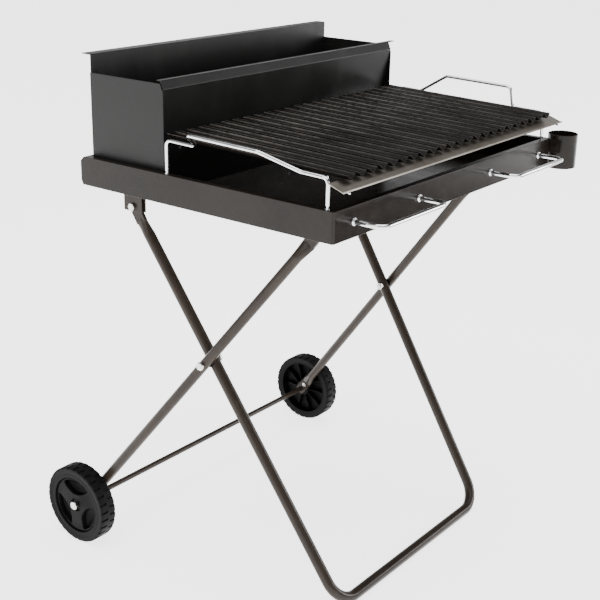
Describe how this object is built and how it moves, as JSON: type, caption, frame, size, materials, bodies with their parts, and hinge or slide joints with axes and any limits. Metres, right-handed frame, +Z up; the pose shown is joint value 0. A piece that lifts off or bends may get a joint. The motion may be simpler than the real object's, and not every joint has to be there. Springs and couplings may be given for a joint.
{
  "type": "folding camp grill",
  "caption": "Charcoal and wood grill on a folding crossed-leg trolley: tray, ember box, lift-off bar rack with grease gutter, cup holder, carry handles and wheels.",
  "frame": {"origin": "on the ground, under the middle of the whole object's bounding box", "axes": "+Z up, +X to the right seen from the front, +Y to the back; the front, with the two carry handles, faces -Y"},
  "size_m": [0.7724, 0.693, 0.9152],
  "materials": {
    "tray_paint": "gloss",
    "leg_paint": "gloss",
    "ember_paint": "satin",
    "chrome_wire": "polished",
    "zinc": "satin",
    "seasoned_steel": "matte",
    "stainless": "brushed",
    "black_plastic": "satin",
    "tread": "matte"
  },
  "bodies": {
    "tray": {"tray_pan": "tray_paint", "front_handle_left": "chrome_wire", "front_handle_right": "chrome_wire", "handle_collars": "chrome_wire", "handle_nuts": "zinc", "cup_holder": "tray_paint", "cup_strap": "tray_paint", "cup_screw": "tray_paint", "cup_strap_rivet": "tray_paint", "rear_bracket_left": "leg_paint", "rear_bracket_right": "leg_paint", "rear_pivot_bolts": "zinc", "rear_pivot_nuts": "zinc", "front_catch_left": "leg_paint", "front_catch_right": "leg_paint", "bracket_rivets": "tray_paint"},
    "ember_box": {"box_rear_panel": "ember_paint", "box_front_panel": "ember_paint", "box_side_panel_left": "ember_paint", "box_side_panel_right": "ember_paint"},
    "grill_rack": {"grill_bars": "seasoned_steel", "rear_cross_rod": "seasoned_steel", "front_cross_rod": "seasoned_steel", "rack_wire_left": "chrome_wire", "rack_wire_right": "chrome_wire", "gutter_hooks": "chrome_wire"},
    "gutter": {"grease_gutter": "stainless"},
    "u_leg": {"u_leg_frame": "leg_paint", "cross_bolts": "zinc", "cross_nuts": "zinc", "cross_spacers": "black_plastic"},
    "wheel_leg": {"wheel_leg_tube_left": "leg_paint", "wheel_leg_tube_right": "leg_paint", "axle_tube": "leg_paint", "axle_bolts": "zinc", "axle_rivets": "zinc", "catch_pins": "zinc"},
    "wheel_left": {"tyre_left": "tread", "wheel_hub_left": "black_plastic"},
    "wheel_right": {"tyre_right": "tread", "wheel_hub_right": "black_plastic"}
  },
  "joints": [
    {"name": "leg_fold", "type": "hinge", "parent": "tray", "child": "u_leg", "pos_m": [-0.0142, 0.1785, 0.656], "axis": [-1, 0, 0], "range_deg": [0, 50.4]},
    {"name": "leg_cross_pivot", "type": "hinge", "parent": "u_leg", "child": "wheel_leg", "pos_m": [-0.0142, 0.01376, 0.40794], "axis": [1, 0, 0], "range_deg": [0, 100.8]},
    {"name": "wheel_left_spin", "type": "hinge", "parent": "wheel_leg", "child": "wheel_left", "pos_m": [-0.3642, 0.2715, 0.075], "axis": [1, 0, 0], "continuous": true},
    {"name": "wheel_right_spin", "type": "hinge", "parent": "wheel_leg", "child": "wheel_right", "pos_m": [0.3358, 0.2715, 0.075], "axis": [1, 0, 0], "continuous": true},
    {"name": "rack_lift", "type": "slide", "parent": "tray", "child": "grill_rack", "axis": [0, 0, 1], "range_m": [0, 0.12]},
    {"name": "gutter_slide", "type": "slide", "parent": "grill_rack", "child": "gutter", "axis": [1, 0, 0], "range_m": [0, 0.2]},
    {"name": "ember_box_lift", "type": "slide", "parent": "tray", "child": "ember_box", "axis": [0, 0, 1], "range_m": [0, 0.22]}
  ],
  "couplings": [
    {"joint": "leg_cross_pivot", "follows": "leg_fold", "ratio": 2}
  ]
}
